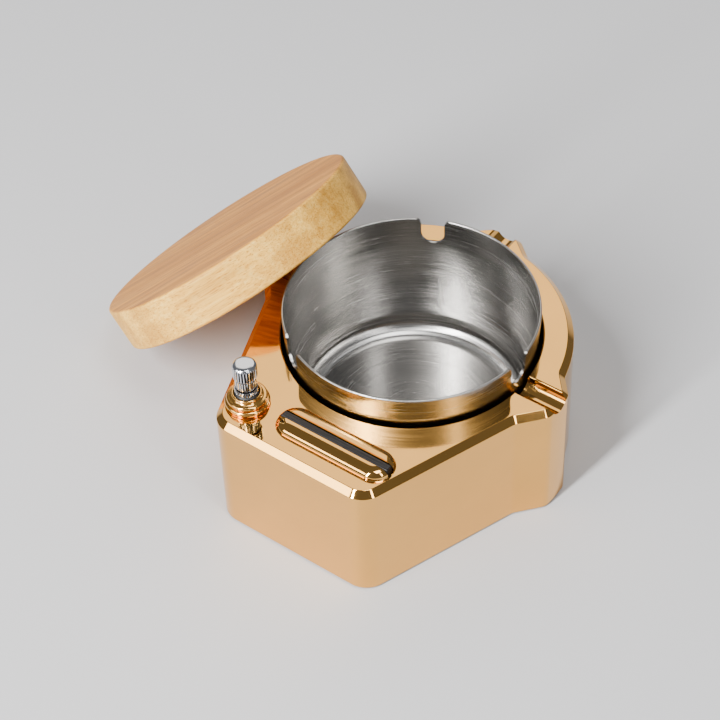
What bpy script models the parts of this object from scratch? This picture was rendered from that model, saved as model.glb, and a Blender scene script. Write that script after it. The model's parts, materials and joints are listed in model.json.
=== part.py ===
"""Tabletop ashtray with a built-in permanent match lighter, at rest with its bamboo lid leaning on it.

Origin: under the centre of the bowl, on the table. +Z is up and the front face, with the match and the
flint bar, looks along -Y. Lengths below are in millimetres and are turned into metres when meshes are made.
"""

import math

import bmesh
import bpy
from mathutils import Matrix, Vector

MM = 0.001
GAP = 0.3

# Housing: a die-cast shell, open underneath.
DECK_Z = 54.6
HOUSING_BOTTOM = 0.6
CHAMFER = 2.5
DECK_THICK = 2.5
WALL = 2.2
FRONT_Y = 80.8
FRONT_HALF = 34.8
SIDE_ANGLE = math.radians(20.6)
FRONT_CORNER_R = 10.0
BODY_R = 62.8
LOBE_R = 68.0
LOBE_SIDE_DIST = 55.7
LOBE_SIDE_ANGLE = math.radians(40.5)
LOBE_CORNER_R = 5.0
LOBE_FILLET_R = 6.0
HOLE_R = 50.8
GROOVE_R = 4.8
TROUGH_HALF = 6.4
REST_ANGLES = (0.0, 90.0, 180.0)
SEGS = 10

# Raised holder of the flint bar.
MOUND_X = 11.0
MOUND_Y = -64.8
MOUND_LENGTH = 51.0
MOUND_WIDTH = 15.0
MOUND_HEIGHT = 3.6
SLOT_WIDTH = 3.7
SLOT_DEPTH = 4.2
ROD_WIDTH = 3.1
ROD_LENGTH = 48.6
ROD_TOP = 3.0

# Bowl: a spun steel liner that stands on a pad and lifts out.
BOWL_RIM_Z = 67.8
BOWL_RIM_R = 50.0
BOWL_DECK_R = 49.4
BOWL_SHEET = 1.0
BOWL_FLOOR_Z = 8.0
BOWL_CORNER_R = 9.0
NOTCH_WIDTH = 9.4
NOTCH_DEPTH = 11.8
NOTCH_LIP_R = 2.6
NOTCH_ANGLES = (115.0, -1.0, 239.0)

# Underside.
PAD_THICK = 1.2
PLATE_BOTTOM = 1.3
PLATE_TOP = 3.3
POST_R = 3.6
POST_POSITIONS = ((61.5, 0.0), (0.0, 61.5), (-61.5, 0.0), (27.5, -72.5))
SCREW_PILOT_R = 1.3
SCREW_SHANK_R = 1.2
SCREW_HEAD_R = 2.7

# Permanent match: tank, collar and the match that screws into it.
MATCH_X = -29.1
MATCH_Y = -66.0
COLLAR_TOP = 6.2
COLLAR_STEM_R = 5.8
COLLAR_BORE_R = 4.3
TANK_TOP = 48.0
TANK_BOTTOM = 12.0
KNOB_R = 4.7
KNOB_TOP = 21.0
KNURLS = 22

# Lid: a laminated bamboo disc leaning on the left rest, its lower edge on the table.
LID_R = 57.3
LID_THICK = 18.5
LID_EDGE_R = 1.2
LID_TILT = math.radians(41.8)
LID_AZIMUTH = math.radians(176.5)
LID_CENTRE_X = -90.9
LID_CENTRE_Y = 5.2


def clear_scene():
    for obj in list(bpy.data.objects):
        bpy.data.objects.remove(obj, do_unlink=True)


def material(name, color, metallic, roughness):
    made = bpy.data.materials.new(name)
    made.use_nodes = True
    shader = made.node_tree.nodes["Principled BSDF"]
    shader.inputs["Base Color"].default_value = (*color, 1.0)
    shader.inputs["Metallic"].default_value = metallic
    shader.inputs["Roughness"].default_value = roughness
    return made


def add_object(name, bm, mat, origin=(0.0, 0.0, 0.0)):
    """Makes an object of a bmesh whose points are in millimetres, with its own origin on a joint axis if it has one."""
    bmesh.ops.recalc_face_normals(bm, faces=bm.faces)
    shift = Vector(origin)
    for vert in bm.verts:
        vert.co = (vert.co - shift) * MM
    mesh = bpy.data.meshes.new(name)
    bm.to_mesh(mesh)
    bm.free()
    for face in mesh.polygons:
        face.use_smooth = True
    mesh.set_sharp_from_angle(angle=math.radians(32))
    obj = bpy.data.objects.new(name, mesh)
    obj.location = shift * MM
    bpy.context.scene.collection.objects.link(obj)
    if mat:
        mesh.materials.append(mat)
    else:
        obj.hide_render = True
        obj.display_type = "WIRE"
    return obj


def boolean(obj, cutter, operation):
    modifier = obj.modifiers.new(f"{operation.lower()}_{cutter.name}", "BOOLEAN")
    modifier.operation = operation
    modifier.solver = "EXACT"
    modifier.object = cutter


def loft(levels):
    """A closed body through rings of equal length, each a list of 3D points."""
    bm = bmesh.new()
    rings = [[bm.verts.new(point) for point in ring] for ring in levels]
    count = len(rings[0])
    for low, high in zip(rings, rings[1:]):
        for i in range(count):
            j = (i + 1) % count
            bm.faces.new((low[i], low[j], high[j], high[i]))
    bm.faces.new(reversed(rings[0]))
    bm.faces.new(rings[-1])
    return bm


def at_height(ring, z):
    return [(x, y, z) for x, y in ring]


def circle(radius, count, centre=(0.0, 0.0)):
    step = 2 * math.pi / count
    return [
        (centre[0] + radius * math.cos(step * i), centre[1] + radius * math.sin(step * i))
        for i in range(count)
    ]


def revolve(profile, count, centre=(0.0, 0.0)):
    """A solid of revolution about Z. The profile is (radius, z) pairs that start and end on the axis."""
    bm = bmesh.new()
    rings = []
    for radius, z in profile:
        if radius == 0.0:
            rings.append([bm.verts.new((centre[0], centre[1], z))])
        else:
            rings.append([bm.verts.new(p) for p in at_height(circle(radius, count, centre), z)])
    for low, high in zip(rings, rings[1:]):
        for i in range(count):
            j = (i + 1) % count
            if len(low) == 1:
                bm.faces.new((low[0], high[j], high[i]))
            elif len(high) == 1:
                bm.faces.new((low[i], low[j], high[0]))
            else:
                bm.faces.new((low[i], low[j], high[j], high[i]))
    return bm


def tube(profile, count, centre=(0.0, 0.0)):
    """A ring-shaped body about Z. The profile is a closed loop of (radius, z) pairs."""
    bm = bmesh.new()
    rings = [
        [bm.verts.new(p) for p in at_height(circle(radius, count, centre), z)]
        for radius, z in profile
    ]
    for low, high in zip(rings, rings[1:] + rings[:1]):
        for i in range(count):
            j = (i + 1) % count
            bm.faces.new((low[i], low[j], high[j], high[i]))
    return bm


def arc(centre, radius, start, end, count=SEGS):
    """Points on an arc from one angle to another, both in radians."""
    return [
        (
            centre[0] + radius * math.cos(start + (end - start) * i / count),
            centre[1] + radius * math.sin(start + (end - start) * i / count),
        )
        for i in range(count + 1)
    ]


def touch(normal, distance, reach, side):
    """The point at this signed distance from a line and this far from the origin, on the chosen side."""
    along = Vector((-normal.y, normal.x)) * side
    return normal * distance + along * math.sqrt(reach * reach - distance * distance)


def lobe_half(inset):
    """One side of a rest lobe that points along +X, from its middle round to the main circle."""
    normal = Vector((math.cos(LOBE_SIDE_ANGLE), math.sin(LOBE_SIDE_ANGLE)))
    side = LOBE_SIDE_DIST - inset
    outer = LOBE_R - inset
    body = BODY_R - inset
    corner_r = LOBE_CORNER_R - inset
    fillet_r = LOBE_FILLET_R + inset
    corner = touch(normal, side - corner_r, outer - corner_r, -1)
    fillet = touch(normal, side + fillet_r, body + fillet_r, -1)
    corner_angle = math.atan2(corner.y, corner.x)
    fillet_angle = math.atan2(fillet.y, fillet.x)
    points = arc((0, 0), outer, 0, corner_angle, 3)
    points += arc(corner, corner_r, corner_angle, LOBE_SIDE_ANGLE, 6)[1:]
    points += arc(fillet, fillet_r, LOBE_SIDE_ANGLE + math.pi, fillet_angle + math.pi, 6)
    return points, fillet_angle


def lobe_front_half(inset):
    """The front side of the right lobe, from its middle round to the straight side face."""
    normal = Vector((math.cos(LOBE_SIDE_ANGLE), -math.sin(LOBE_SIDE_ANGLE)))
    side = LOBE_SIDE_DIST - inset
    outer = LOBE_R - inset
    corner_r = LOBE_CORNER_R - inset
    fillet_r = LOBE_FILLET_R + inset
    corner = touch(normal, side - corner_r, outer - corner_r, 1)
    corner_angle = math.atan2(corner.y, corner.x)
    face = Vector((math.cos(SIDE_ANGLE), -math.sin(SIDE_ANGLE)))
    face_dist = face.dot(Vector((FRONT_HALF, -FRONT_Y))) - inset
    fillet = meet(normal, side + fillet_r, face, face_dist + fillet_r)
    points = arc(fillet, fillet_r, math.pi - SIDE_ANGLE, math.pi - LOBE_SIDE_ANGLE, 6)
    points += arc(corner, corner_r, -LOBE_SIDE_ANGLE, corner_angle, 6)
    points += arc((0, 0), outer, corner_angle, 0, 3)[1:-1]
    return points


def meet(first, first_dist, second, second_dist):
    """Where two lines cross, each given by its normal and its distance from the origin."""
    det = first.x * second.y - first.y * second.x
    x = (first_dist * second.y - second_dist * first.y) / det
    y = (first.x * second_dist - second.x * first_dist) / det
    return Vector((x, y))


def housing_outline(inset=0.0):
    """The plan of the housing, moved inwards by inset, counter-clockwise from the front centre."""
    corner_r = FRONT_CORNER_R - inset
    front = Vector((0.0, -1.0))
    face = Vector((math.cos(SIDE_ANGLE), -math.sin(SIDE_ANGLE)))
    face_dist = face.dot(Vector((FRONT_HALF, -FRONT_Y))) - inset
    corner = meet(front, FRONT_Y - inset - corner_r, face, face_dist - corner_r)
    right = arc(corner, corner_r, -math.pi / 2, -SIDE_ANGLE)
    right += lobe_front_half(inset)
    half, start = lobe_half(inset)
    right += half
    right += arc((0, 0), BODY_R - inset, start, math.pi / 2 - start, 16)[1:-1]
    right += [(y, x) for x, y in reversed(half)]
    left = [(-x, y) for x, y in reversed(right[:-1])]
    return right + left


def make_housing(mat):
    levels = [
        at_height(housing_outline(0.4), HOUSING_BOTTOM),
        at_height(housing_outline(0.0), HOUSING_BOTTOM + 0.4),
        at_height(housing_outline(0.0), DECK_Z - CHAMFER - 0.15),
        at_height(housing_outline(0.1), DECK_Z - CHAMFER + 0.1),
        at_height(housing_outline(CHAMFER - 0.15), DECK_Z - 0.15),
        at_height(housing_outline(CHAMFER + 0.1), DECK_Z),
    ]
    housing = add_object("base_housing", loft(levels), mat)

    inner = housing_outline(WALL)
    hollow = loft([at_height(inner, -5.0), at_height(inner, DECK_Z - DECK_THICK)])
    boolean(housing, add_object("cut_hollow", hollow, None), "DIFFERENCE")

    for i, (x, y) in enumerate(POST_POSITIONS):
        post = loft(
            [
                at_height(circle(POST_R, 24, (x, y)), PLATE_TOP + GAP),
                at_height(circle(POST_R, 24, (x, y)), DECK_Z - 1.2),
            ]
        )
        boolean(housing, add_object(f"add_post_{i}", post, None), "UNION")

    for i, turn in enumerate(REST_ANGLES):
        low = (47.0, -TROUGH_HALF, DECK_Z - 8.0)
        trough = box(low, (LOBE_R - 1.2, TROUGH_HALF, DECK_Z - 2.0))
        rotate_z(trough, turn)
        boolean(housing, add_object(f"add_trough_{i}", trough, None), "UNION")

    mound = make_mound()
    boolean(housing, add_object("add_mound", mound, None), "UNION")

    well = loft(
        [
            at_height(circle(HOLE_R, 96), -4.0),
            at_height(circle(HOLE_R, 96), DECK_Z - 0.4),
            at_height(circle(HOLE_R + 0.8, 96), DECK_Z + 0.4),
        ]
    )
    boolean(housing, add_object("cut_well", well, None), "DIFFERENCE")

    for i, turn in enumerate(REST_ANGLES):
        groove = make_groove()
        rotate_z(groove, turn + 0.03)
        boolean(housing, add_object(f"cut_groove_{i}", groove, None), "DIFFERENCE")

    for i, (x, y) in enumerate(POST_POSITIONS):
        pilot = loft(
            [
                at_height(circle(SCREW_PILOT_R, 16, (x, y)), 0.0),
                at_height(circle(SCREW_PILOT_R, 16, (x, y)), 16.0),
            ]
        )
        boolean(housing, add_object(f"cut_pilot_{i}", pilot, None), "DIFFERENCE")

    socket = loft(
        [
            at_height(circle(COLLAR_STEM_R + 0.1, 40, (MATCH_X, MATCH_Y)), DECK_Z - 8.0),
            at_height(circle(COLLAR_STEM_R + 0.1, 40, (MATCH_X, MATCH_Y)), DECK_Z + 3.0),
        ]
    )
    boolean(housing, add_object("cut_collar_socket", socket, None), "DIFFERENCE")

    half = SLOT_WIDTH / 2
    slot = box(
        (MOUND_X - MOUND_LENGTH / 2 + 1.2, MOUND_Y - half, DECK_Z + MOUND_HEIGHT - SLOT_DEPTH),
        (MOUND_X + MOUND_LENGTH / 2 + 2.0, MOUND_Y + half, DECK_Z + MOUND_HEIGHT + 2.0),
    )
    boolean(housing, add_object("cut_flint_slot", slot, None), "DIFFERENCE")


def box(low, high):
    bm = bmesh.new()
    bmesh.ops.create_cube(bm, size=1.0)
    size = Vector(high) - Vector(low)
    middle = (Vector(high) + Vector(low)) / 2
    for vert in bm.verts:
        vert.co = Vector(c * s for c, s in zip(vert.co, size)) + middle
    return bm


def rotate_z(bm, degrees):
    bmesh.ops.rotate(bm, verts=bm.verts, matrix=Matrix.Rotation(math.radians(degrees), 3, "Z"))


def make_groove():
    """A half-round cutter along +X, with a small break at its lips."""
    lip = 0.5
    ring = [(GROOVE_R + lip, 3.0), (GROOVE_R + lip, lip), (GROOVE_R, 0.0)]
    ring += [(y, z) for y, z in arc((0, 0), GROOVE_R, 0, -math.pi, 16)[1:-1]]
    ring += [(-GROOVE_R, 0.0), (-GROOVE_R - lip, lip), (-GROOVE_R - lip, 3.0)]
    return loft([[(x, y, DECK_Z + z) for y, z in ring] for x in (40.0, 80.0)])


def make_mound():
    """A stadium-shaped swelling: the same rounded section goes along its sides and around its ends."""
    half_width = MOUND_WIDTH / 2
    half_length = MOUND_LENGTH / 2
    section = [(0.0, -1.0), (0.0, 0.0), (0.15, 0.7), (0.6, 1.5), (1.3, 2.3), (2.3, 3.0), (3.6, 3.4), (4.9, 3.6)]
    levels = []
    for inset, z in section:
        radius = half_width - inset
        straight = half_length - half_width
        right = arc((MOUND_X + straight, MOUND_Y), radius, -math.pi / 2, math.pi / 2, 14)
        left = arc((MOUND_X - straight, MOUND_Y), radius, math.pi / 2, 1.5 * math.pi, 14)
        levels.append(at_height(right + left, DECK_Z + z))
    return loft(levels)


def make_bowl(mat):
    taper = (BOWL_RIM_R - BOWL_DECK_R) / (BOWL_RIM_Z - DECK_Z)
    foot_r = BOWL_DECK_R - 0.6
    outer_r = BOWL_CORNER_R + BOWL_SHEET
    bottom = BOWL_FLOOR_Z - BOWL_SHEET
    profile = [(0.0, bottom)]
    profile += arc((foot_r - outer_r, bottom + outer_r), outer_r, -math.pi / 2, 0, 6)
    profile += [(BOWL_DECK_R - taper, DECK_Z - 1.0), (BOWL_RIM_R, BOWL_RIM_Z - 0.5)]
    profile += [(BOWL_RIM_R - 0.2, BOWL_RIM_Z - 0.1), (BOWL_RIM_R - 0.5, BOWL_RIM_Z)]
    profile += [(BOWL_RIM_R - 0.8, BOWL_RIM_Z - 0.1), (BOWL_RIM_R - BOWL_SHEET, BOWL_RIM_Z - 0.5)]
    profile += [(BOWL_DECK_R - taper - BOWL_SHEET, DECK_Z - 1.0)]
    inner = arc(
        (foot_r - outer_r, BOWL_FLOOR_Z + BOWL_CORNER_R), BOWL_CORNER_R, -math.pi / 2, 0, 6
    )
    profile += reversed(inner)
    profile += [(0.0, BOWL_FLOOR_Z)]
    bowl = add_object("ash_bowl", revolve(profile, 80), mat)
    for i, turn in enumerate(NOTCH_ANGLES):
        notch = make_notch()
        rotate_z(notch, turn)
        boolean(bowl, add_object(f"cut_notch_{i}", notch, None), "DIFFERENCE")


def make_notch():
    """A cutter along +X for a round-bottomed notch whose upper corners are rounded over."""
    half = NOTCH_WIDTH / 2
    base = BOWL_RIM_Z - NOTCH_DEPTH + half
    lip = BOWL_RIM_Z - NOTCH_LIP_R
    ring = arc((0.0, base), half, -math.pi, 0, 12)
    ring += arc((half + NOTCH_LIP_R, lip), NOTCH_LIP_R, math.pi, math.pi / 2, 5)
    ring += [(half + NOTCH_LIP_R, BOWL_RIM_Z + 2.0), (-half - NOTCH_LIP_R, BOWL_RIM_Z + 2.0)]
    ring += arc((-half - NOTCH_LIP_R, lip), NOTCH_LIP_R, math.pi / 2, 0, 5)
    return loft([[(x, y, z) for y, z in ring] for x in (40.0, 56.0)])


def make_underside(pad_mat, plate_mat, screw_mat, felt_mat):
    pad = housing_outline(WALL + 0.4)
    add_object("base_pad", loft([at_height(pad, 0.0), at_height(pad, PAD_THICK)]), pad_mat)

    plate_ring = housing_outline(WALL + GAP)
    plate_body = loft([at_height(plate_ring, PLATE_BOTTOM), at_height(plate_ring, PLATE_TOP)])
    plate = add_object("bottom_plate", plate_body, plate_mat)
    for i, (x, y) in enumerate(POST_POSITIONS):
        sink = loft(
            [
                at_height(circle(SCREW_HEAD_R + 0.3, 24, (x, y)), PLATE_BOTTOM - 0.5),
                at_height(circle(SCREW_HEAD_R + 0.3, 24, (x, y)), PLATE_BOTTOM + 1.1),
            ]
        )
        boolean(plate, add_object(f"cut_sink_{i}", sink, None), "DIFFERENCE")
        shank_hole = loft(
            [
                at_height(circle(SCREW_SHANK_R + 0.4, 16, (x, y)), PLATE_BOTTOM + 0.4),
                at_height(circle(SCREW_SHANK_R + 0.4, 16, (x, y)), PLATE_TOP + 1.0),
            ]
        )
        boolean(plate, add_object(f"cut_shank_{i}", shank_hole, None), "DIFFERENCE")
        make_screw(i, (x, y), screw_mat)

    felt = revolve([(0.0, PLATE_TOP + 0.05), (34.0, PLATE_TOP + 0.05), (34.0, 6.9), (0.0, 6.9)], 64)
    add_object("bowl_seat_pad", felt, felt_mat)


def make_screw(index, centre, mat):
    """A pan-head screw, head down, with a cross recess."""
    head_low = PLATE_BOTTOM + 0.05
    head_high = PLATE_BOTTOM + 1.05
    body = revolve(
        [
            (0.0, head_low),
            (SCREW_HEAD_R - 0.3, head_low),
            (SCREW_HEAD_R, head_low + 0.3),
            (SCREW_HEAD_R, head_high),
            (SCREW_SHANK_R, head_high),
            (SCREW_SHANK_R, 13.0),
            (0.5, 14.0),
            (0.0, 14.0),
        ],
        24,
        centre,
    )
    screw = add_object(f"plate_screw_{index + 1}", body, mat)
    x, y = centre
    for part, (half_x, half_y) in enumerate(((1.6, 0.3), (0.3, 1.6))):
        blade = box((x - half_x, y - half_y, head_low - 1.0), (x + half_x, y + half_y, head_low + 0.6))
        boolean(screw, add_object(f"cut_cross_{index}_{part}", blade, None), "DIFFERENCE")


def rounded_rect(x0, x1, y0, y1, radius, count=6):
    ring = arc((x1 - radius, y0 + radius), radius, -math.pi / 2, 0, count)
    ring += arc((x1 - radius, y1 - radius), radius, 0, math.pi / 2, count)
    ring += arc((x0 + radius, y1 - radius), radius, math.pi / 2, math.pi, count)
    ring += arc((x0 + radius, y0 + radius), radius, math.pi, 1.5 * math.pi, count)
    return ring


def make_tank(tank_mat, lid_mat, gasket_mat, wadding_mat):
    """A fuel tub under the front deck, closed by a cap plate that the collar screws down onto."""
    x0, x1 = MATCH_X - 6.8, 19.0
    y0, y1 = -75.0, -56.0
    corner_r = 6.0
    tub = add_object(
        "fuel_tank",
        loft(
            [
                at_height(rounded_rect(x0, x1, y0, y1, corner_r), TANK_BOTTOM),
                at_height(rounded_rect(x0, x1, y0, y1, corner_r), TANK_TOP),
            ]
        ),
        tank_mat,
    )
    inside = rounded_rect(x0 + 1.5, x1 - 1.5, y0 + 1.5, y1 - 1.5, corner_r - 1.5)
    cavity = loft([at_height(inside, TANK_BOTTOM + 1.5), at_height(inside, TANK_TOP + 2.0)])
    boolean(tub, add_object("cut_tank", cavity, None), "DIFFERENCE")

    seal_ring = rounded_rect(x0, x1, y0, y1, corner_r)
    gasket_low, gasket_high = TANK_TOP + 0.05, TANK_TOP + 0.85
    gasket = add_object(
        "tank_gasket",
        loft([at_height(seal_ring, gasket_low), at_height(seal_ring, gasket_high)]),
        gasket_mat,
    )
    opening = loft([at_height(inside, gasket_low - 1.0), at_height(inside, gasket_high + 1.0)])
    boolean(gasket, add_object("cut_gasket", opening, None), "DIFFERENCE")

    cap_low, cap_high = TANK_TOP + 0.9, TANK_TOP + 2.9
    cap = add_object(
        "tank_cap",
        loft([at_height(seal_ring, cap_low), at_height(seal_ring, cap_high)]),
        lid_mat,
    )
    neck = loft(
        [
            at_height(circle(COLLAR_STEM_R + 0.1, 40, (MATCH_X, MATCH_Y)), cap_low - 1.0),
            at_height(circle(COLLAR_STEM_R + 0.1, 40, (MATCH_X, MATCH_Y)), cap_high + 1.0),
        ]
    )
    boolean(cap, add_object("cut_cap_neck", neck, None), "DIFFERENCE")

    pack_ring = rounded_rect(MATCH_X + 8.0, x1 - 2.0, y0 + 2.0, y1 - 2.0, corner_r - 2.0)
    wadding = loft(
        [at_height(pack_ring, TANK_BOTTOM + 1.8), at_height(pack_ring, TANK_TOP - 1.0)]
    )
    add_object("fuel_wadding", wadding, wadding_mat)


def make_collar(mat):
    """The stepped neck: three rolled rings above the deck and a threaded sleeve below it."""
    centre = (MATCH_X, MATCH_Y)
    low = TANK_TOP + 0.95
    base = DECK_Z + 0.05
    outer = [(COLLAR_BORE_R, low), (COLLAR_STEM_R, low), (COLLAR_STEM_R, base), (8.2, base)]
    outer += [(r, z) for r, z in arc((7.9, base + 1.2), 1.2, -math.pi / 3, math.pi / 2, 4)]
    outer += [(7.5, base + 2.6)]
    outer += [(r, z) for r, z in arc((7.1, base + 3.5), 0.95, -math.pi / 4, math.pi / 2, 4)]
    outer += [(6.1, base + 4.7)]
    outer += [(r, z) for r, z in arc((5.6, DECK_Z + COLLAR_TOP - 0.6), 0.6, -math.pi / 6, math.pi, 4)]
    outer += [(5.0, base + 4.2), (COLLAR_BORE_R, base + 4.2)]
    add_object("neck_collar", tube(outer, 36, centre), mat)


def knurled_ring(radius, depth, z, count, centre):
    """A ring with straight V-shaped knurls, four points to a ridge."""
    ring = []
    for i in range(count * 2):
        angle = math.pi * i / count
        r = radius if i % 2 == 0 else radius - depth
        ring.append((centre[0] + r * math.cos(angle), centre[1] + r * math.sin(angle), z))
    return ring


def make_match(steel, plug_mat, rubber, rod_mat, wick_mat):
    centre = (MATCH_X, MATCH_Y)
    base = DECK_Z
    axis = (MATCH_X, MATCH_Y, DECK_Z + COLLAR_TOP)
    depth = 0.35
    levels = [
        knurled_ring(2.4, 0.0, base + 4.6, KNURLS, centre),
        knurled_ring(2.4, 0.0, base + 6.55, KNURLS, centre),
        knurled_ring(4.2, 0.0, base + 6.6, KNURLS, centre),
        knurled_ring(4.45, depth, base + 6.9, KNURLS, centre),
        knurled_ring(4.45, depth, base + 8.3, KNURLS, centre),
        knurled_ring(3.9, 0.0, base + 8.6, KNURLS, centre),
        knurled_ring(3.9, 0.0, base + 9.2, KNURLS, centre),
        knurled_ring(4.25, depth, base + 9.5, KNURLS, centre),
        knurled_ring(4.25, depth, base + 13.6, KNURLS, centre),
        knurled_ring(3.8, 0.0, base + 13.9, KNURLS, centre),
        knurled_ring(3.8, 0.0, base + 14.6, KNURLS, centre),
        knurled_ring(KNOB_R, depth, base + 15.0, KNURLS, centre),
        knurled_ring(KNOB_R, depth, base + KNOB_TOP - 1.0, KNURLS, centre),
        knurled_ring(KNOB_R - 0.8, 0.0, base + KNOB_TOP - 0.2, KNURLS, centre),
        knurled_ring(KNOB_R - 2.2, 0.0, base + KNOB_TOP, KNURLS, centre),
    ]
    add_object("match_head", loft(levels), steel, axis)

    plug = revolve(
        [
            (0.0, base - 12.0),
            (3.2, base - 12.0),
            (3.9, base - 11.4),
            (3.9, base + 4.0),
            (2.0, base + 4.0),
            (2.0, base + 4.3),
            (0.0, base + 4.3),
        ],
        40,
        centre,
    )
    add_object("match_plug", plug, plug_mat, axis)

    seal = tube(
        [(r, z) for r, z in arc((3.65, base + 5.35), 1.05, 0, 2 * math.pi, 8)[:-1]], 24, centre
    )
    add_object("match_o_ring", seal, rubber, axis)

    stem_low = TANK_BOTTOM + 12.5
    stem = revolve(
        [(0.0, stem_low), (1.9, stem_low), (1.9, base - 12.3), (0.0, base - 12.3)], 32, centre
    )
    add_object("match_stem", stem, rod_mat, axis)

    wick_low = TANK_BOTTOM + 4.0
    wick = revolve(
        [
            (0.0, wick_low),
            (1.5, wick_low),
            (2.0, wick_low + 0.6),
            (2.0, stem_low - 0.8),
            (1.6, stem_low - 0.3),
            (0.0, stem_low - 0.3),
        ],
        24,
        centre,
    )
    add_object("match_wick", wick, wick_mat, axis)


def make_flint(mat):
    half = ROD_WIDTH / 2
    x0 = MOUND_X - MOUND_LENGTH / 2 + 1.5
    top = DECK_Z + ROD_TOP
    low = DECK_Z + MOUND_HEIGHT - SLOT_DEPTH + 0.05
    ring = [
        (-half + 0.4, low),
        (half - 0.4, low),
        (half, low + 0.4),
        (half, top - 0.5),
        (half - 0.5, top),
        (-half + 0.5, top),
        (-half, top - 0.5),
        (-half, low + 0.4),
    ]
    bar = loft([[(x, MOUND_Y + y, z) for y, z in ring] for x in (x0, x0 + ROD_LENGTH)])
    add_object("flint_rod", bar, mat)


def make_lid(mat):
    """The disc is made flat about its own centre, then leaned with its lower edge just on the table."""
    half = LID_THICK / 2
    edge = LID_R - LID_EDGE_R
    profile = [(0.0, -half)]
    profile += arc((edge, -half + LID_EDGE_R), LID_EDGE_R, -math.pi / 2, 0, 4)
    profile += arc((edge, half - LID_EDGE_R), LID_EDGE_R, 0, math.pi / 2, 4)
    profile += [(0.0, half)]
    bm = revolve(profile, 80)
    sin_t, cos_t = math.sin(LID_TILT), math.cos(LID_TILT)
    height = edge * sin_t + (half - LID_EDGE_R) * cos_t + LID_EDGE_R + 0.05
    turn = Matrix.Rotation(LID_AZIMUTH, 4, "Z") @ Matrix.Rotation(LID_TILT, 4, "Y")
    centre = (LID_CENTRE_X, LID_CENTRE_Y, height)
    bmesh.ops.transform(bm, verts=bm.verts, matrix=Matrix.Translation(centre) @ turn)
    add_object("lid_disc", bm, mat, centre)


def main():
    clear_scene()
    gold = material("gold_plate", (0.86, 0.62, 0.34), 1.0, 0.08)
    steel = material("brushed_steel", (0.66, 0.64, 0.62), 1.0, 0.32)
    bright = material("bright_steel", (0.72, 0.72, 0.74), 1.0, 0.18)
    screw_steel = material("screw_steel", (0.55, 0.55, 0.57), 1.0, 0.35)
    flint = material("flint_black", (0.03, 0.03, 0.035), 0.3, 0.55)
    bamboo = material("bamboo", (0.72, 0.50, 0.28), 0.0, 0.55)
    black_plastic = material("black_plastic", (0.03, 0.03, 0.03), 0.0, 0.5)
    foam = material("black_foam", (0.02, 0.02, 0.02), 0.0, 0.9)
    felt = material("seat_felt", (0.05, 0.05, 0.05), 0.0, 0.95)
    rubber = material("seal_rubber", (0.02, 0.02, 0.02), 0.0, 0.6)
    gasket = material("gasket_rubber", (0.03, 0.03, 0.03), 0.0, 0.7)
    tank = material("tank_brass", (0.75, 0.58, 0.30), 1.0, 0.35)
    cap = material("tank_cap_brass", (0.75, 0.58, 0.30), 1.0, 0.3)
    cotton = material("cotton_wadding", (0.85, 0.84, 0.80), 0.0, 0.95)
    wick = material("wick_fibre", (0.82, 0.78, 0.68), 0.0, 0.95)
    striker = material("striker_steel", (0.50, 0.50, 0.52), 1.0, 0.3)
    collar_gold = material("collar_gold", (0.86, 0.62, 0.34), 1.0, 0.08)
    plug_steel = material("plug_steel", (0.62, 0.62, 0.64), 1.0, 0.3)

    make_housing(gold)
    make_underside(foam, black_plastic, screw_steel, felt)
    make_bowl(steel)
    make_tank(tank, cap, gasket, cotton)
    make_collar(collar_gold)
    make_flint(flint)
    make_match(bright, plug_steel, rubber, striker, wick)
    make_lid(bamboo)


main()
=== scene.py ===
"""Looks of a tabletop ashtray with a permanent match lighter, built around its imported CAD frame.

Every visible CAD node is replaced by a finer piece or gets a procedural material. Lengths are in
millimetres and are turned into metres when a mesh is made. +Z is up and the front face looks along -Y.
"""

import json
import math

import bmesh
import bpy
from mathutils import Matrix, Quaternion, Vector

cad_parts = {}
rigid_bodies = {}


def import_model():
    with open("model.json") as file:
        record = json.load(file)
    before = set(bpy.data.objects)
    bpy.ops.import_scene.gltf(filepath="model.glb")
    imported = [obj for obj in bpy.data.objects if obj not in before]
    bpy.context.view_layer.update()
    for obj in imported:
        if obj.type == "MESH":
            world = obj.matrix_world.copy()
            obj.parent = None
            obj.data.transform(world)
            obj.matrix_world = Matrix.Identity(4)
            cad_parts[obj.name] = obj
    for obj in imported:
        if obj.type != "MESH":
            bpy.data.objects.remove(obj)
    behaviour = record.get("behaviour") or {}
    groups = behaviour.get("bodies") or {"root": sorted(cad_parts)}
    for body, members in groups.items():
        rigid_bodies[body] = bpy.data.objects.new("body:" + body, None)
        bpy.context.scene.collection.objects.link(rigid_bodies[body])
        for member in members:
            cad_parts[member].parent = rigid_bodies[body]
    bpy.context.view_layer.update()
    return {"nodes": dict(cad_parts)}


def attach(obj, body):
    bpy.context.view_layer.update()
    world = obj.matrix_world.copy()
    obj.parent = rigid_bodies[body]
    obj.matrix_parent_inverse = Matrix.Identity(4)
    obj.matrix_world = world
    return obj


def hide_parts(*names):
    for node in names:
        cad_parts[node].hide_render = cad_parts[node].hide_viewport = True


MM = 0.001

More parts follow.
